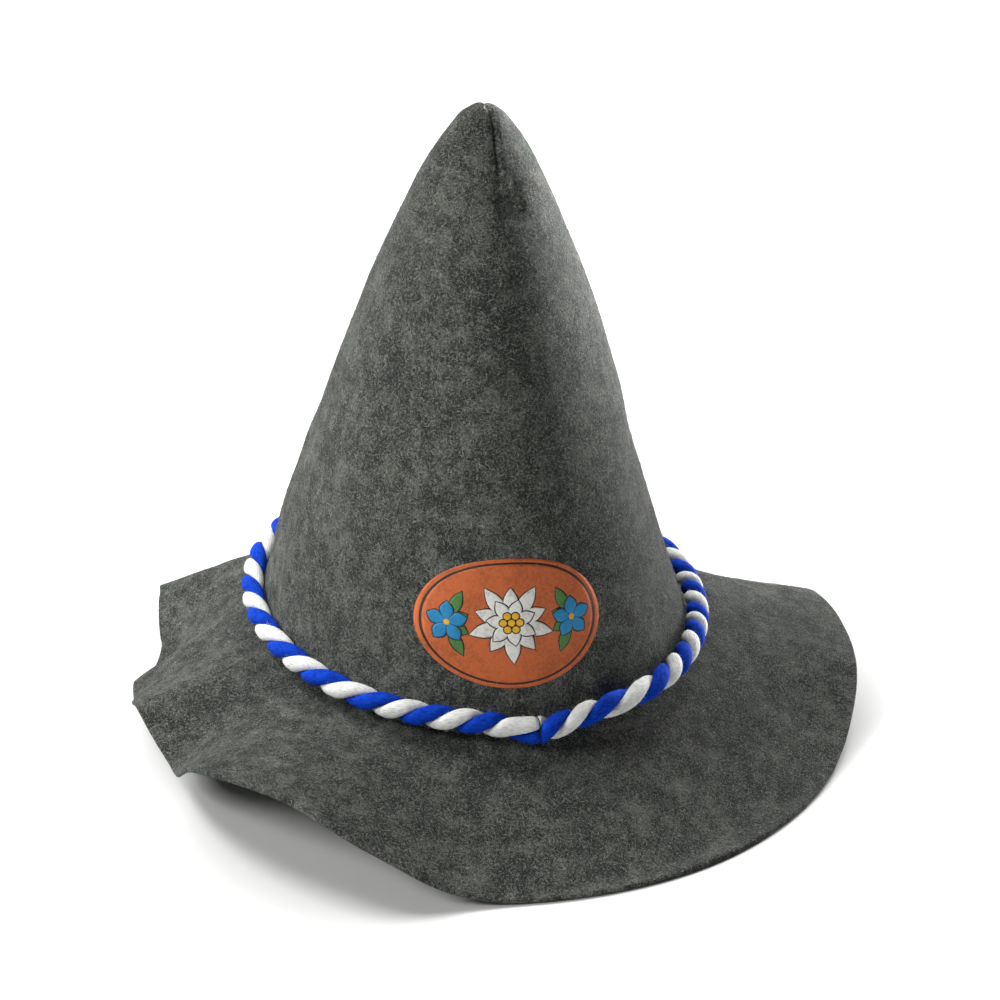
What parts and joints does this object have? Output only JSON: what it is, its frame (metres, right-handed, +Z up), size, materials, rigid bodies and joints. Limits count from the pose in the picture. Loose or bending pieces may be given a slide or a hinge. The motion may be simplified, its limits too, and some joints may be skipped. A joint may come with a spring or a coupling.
{
  "type": "alpine felt hat",
  "caption": "Tall pointed grey felt hat with a soft wavy brim, a twisted blue and white cord round the foot of the crown and a small printed flower badge, worn as traditional dress or costume.",
  "frame": {"origin": "middle of the hat's footprint on the surface it rests on", "axes": "+Z up, the front of the hat faces -Y, +X to the right as seen from the front"},
  "size_m": [0.3076, 0.322, 0.2571],
  "materials": {
    "felt_crown": "mottled grey pressed felt",
    "felt_brim": "mottled grey pressed felt with a raw cut rim",
    "cord_blue": "soft twisted royal blue yarn",
    "cord_white": "soft twisted off-white yarn",
    "tie_thread": "dark sewing thread",
    "badge_film": "thin printed transfer film, orange ground"
  },
  "bodies": {
    "root": {"crown": "felt_crown", "brim": "felt_brim", "cord_strand_blue": "cord_blue", "cord_strand_white": "cord_white", "cord_tie": "tie_thread", "front_badge": "badge_film"}
  },
  "joints": []
}
